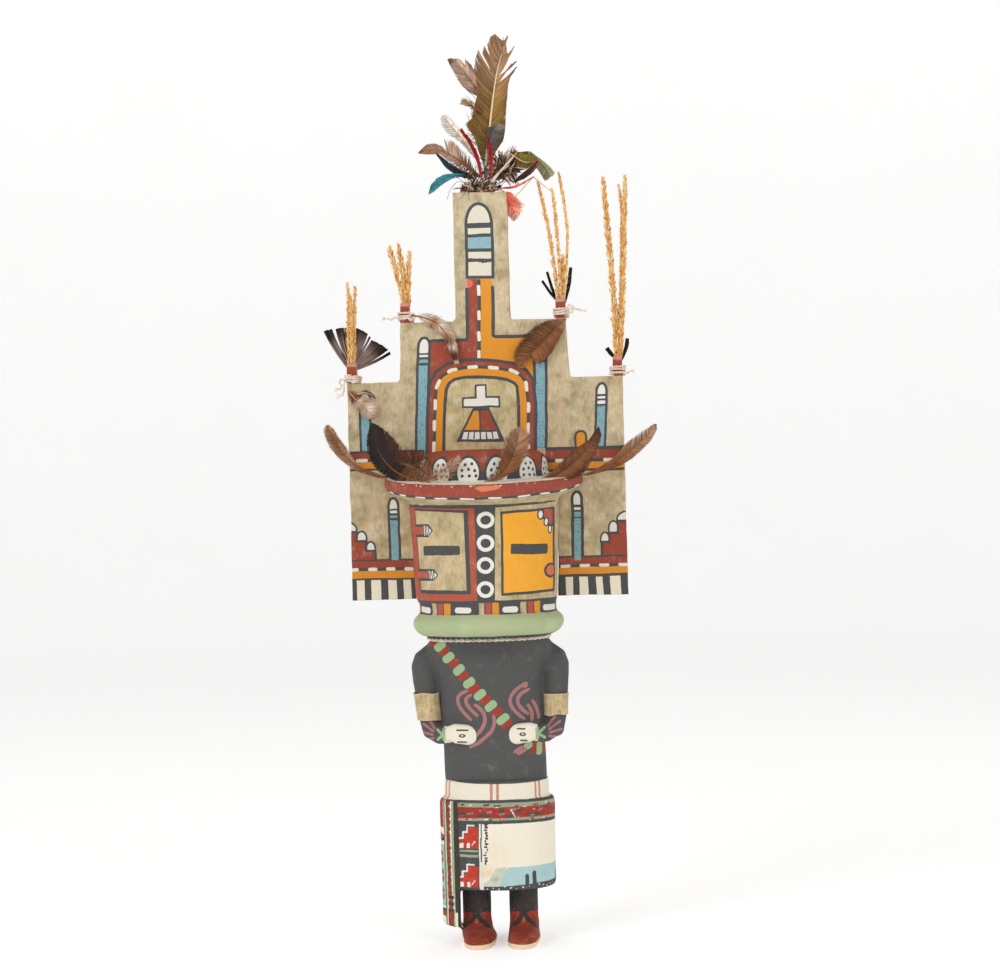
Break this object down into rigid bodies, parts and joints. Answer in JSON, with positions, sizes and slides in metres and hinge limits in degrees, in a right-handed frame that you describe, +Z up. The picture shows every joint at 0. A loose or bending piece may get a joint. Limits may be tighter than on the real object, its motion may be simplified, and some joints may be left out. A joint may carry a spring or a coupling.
{
  "type": "kachina doll",
  "caption": "Carved and painted wooden kachina doll with a stepped headboard, dried grass, cotton ties and a feather crest; stands on its feet.",
  "frame": {"origin": "centre of the whole doll's box, on the surface it stands on, under its feet", "axes": "+Z up along the standing figure, the face looks along -Y, +X is the right of someone who faces the doll"},
  "size_m": [0.1702, 0.088, 0.467],
  "materials": {
    "figure_paint": "hand-painted cottonwood in matt earth colours, worn and slightly chalky",
    "board_paint": "tan ground with painted cloud, rain and corn motifs in matt colours, rubbed at the edges",
    "hide": "stiff thin hide, creased, with frayed ends",
    "cotton": "twisted cotton string",
    "straw": "dry golden grass",
    "feather_dark": "dark brown to black feather",
    "feather_brown": "brown body feather with loose barbs",
    "feather_pale": "pale barred brown feather",
    "feather_olive": "olive brown flight feather with a pale shaft",
    "feather_green": "green feather",
    "feather_grey": "blue-grey down",
    "feather_teal": "teal feather",
    "feather_red": "red feather",
    "feather_pink": "pink-red feather with split barbs",
    "feather_white": "off-white plume"
  },
  "bodies": {
    "root": {"armband_left": "hide", "armband_right": "hide", "brim_feather_far_left": "feather_pale", "brim_feather_far_right": "feather_pale", "brim_feather_front": "feather_brown", "brim_feather_left": "feather_dark", "brim_feather_right": "feather_brown", "brown_inner_right": "feather_brown", "crest_bed": "feather_dark", "crest_blue_black": "feather_dark", "crest_brown_blade": "feather_brown", "crest_brown_left": "feather_brown", "crest_crescent": "feather_dark", "crest_green": "feather_green", "crest_grey_down": "feather_grey", "crest_light_green": "feather_green", "crest_pink_fan": "feather_pink", "crest_red_left": "feather_red", "crest_red_middle": "feather_red", "crest_red_quill": "feather_red", "crest_tall_feather": "feather_olive", "crest_tan_quill": "feather_white", "crest_tangle": "feather_dark", "crest_teal": "feather_teal", "crest_white_plume": "feather_white", "cut_inner_right_far": "feather_dark", "cut_inner_right_near": "feather_dark", "cut_outer_right_far": "feather_dark", "cut_outer_right_near": "feather_dark", "down_outer_left": "feather_pale", "fan_outer_left": "feather_dark", "figure": "figure_paint", "grass_inner_left": "straw", "grass_inner_right": "straw", "grass_outer_left": "straw", "grass_outer_right": "straw", "neck_cord": "cotton", "striped_inner_left": "feather_pale", "tableta": "board_paint", "twine_inner_left": "cotton", "twine_inner_right": "cotton", "twine_outer_left": "cotton", "twine_outer_right": "cotton"}
  },
  "joints": []
}
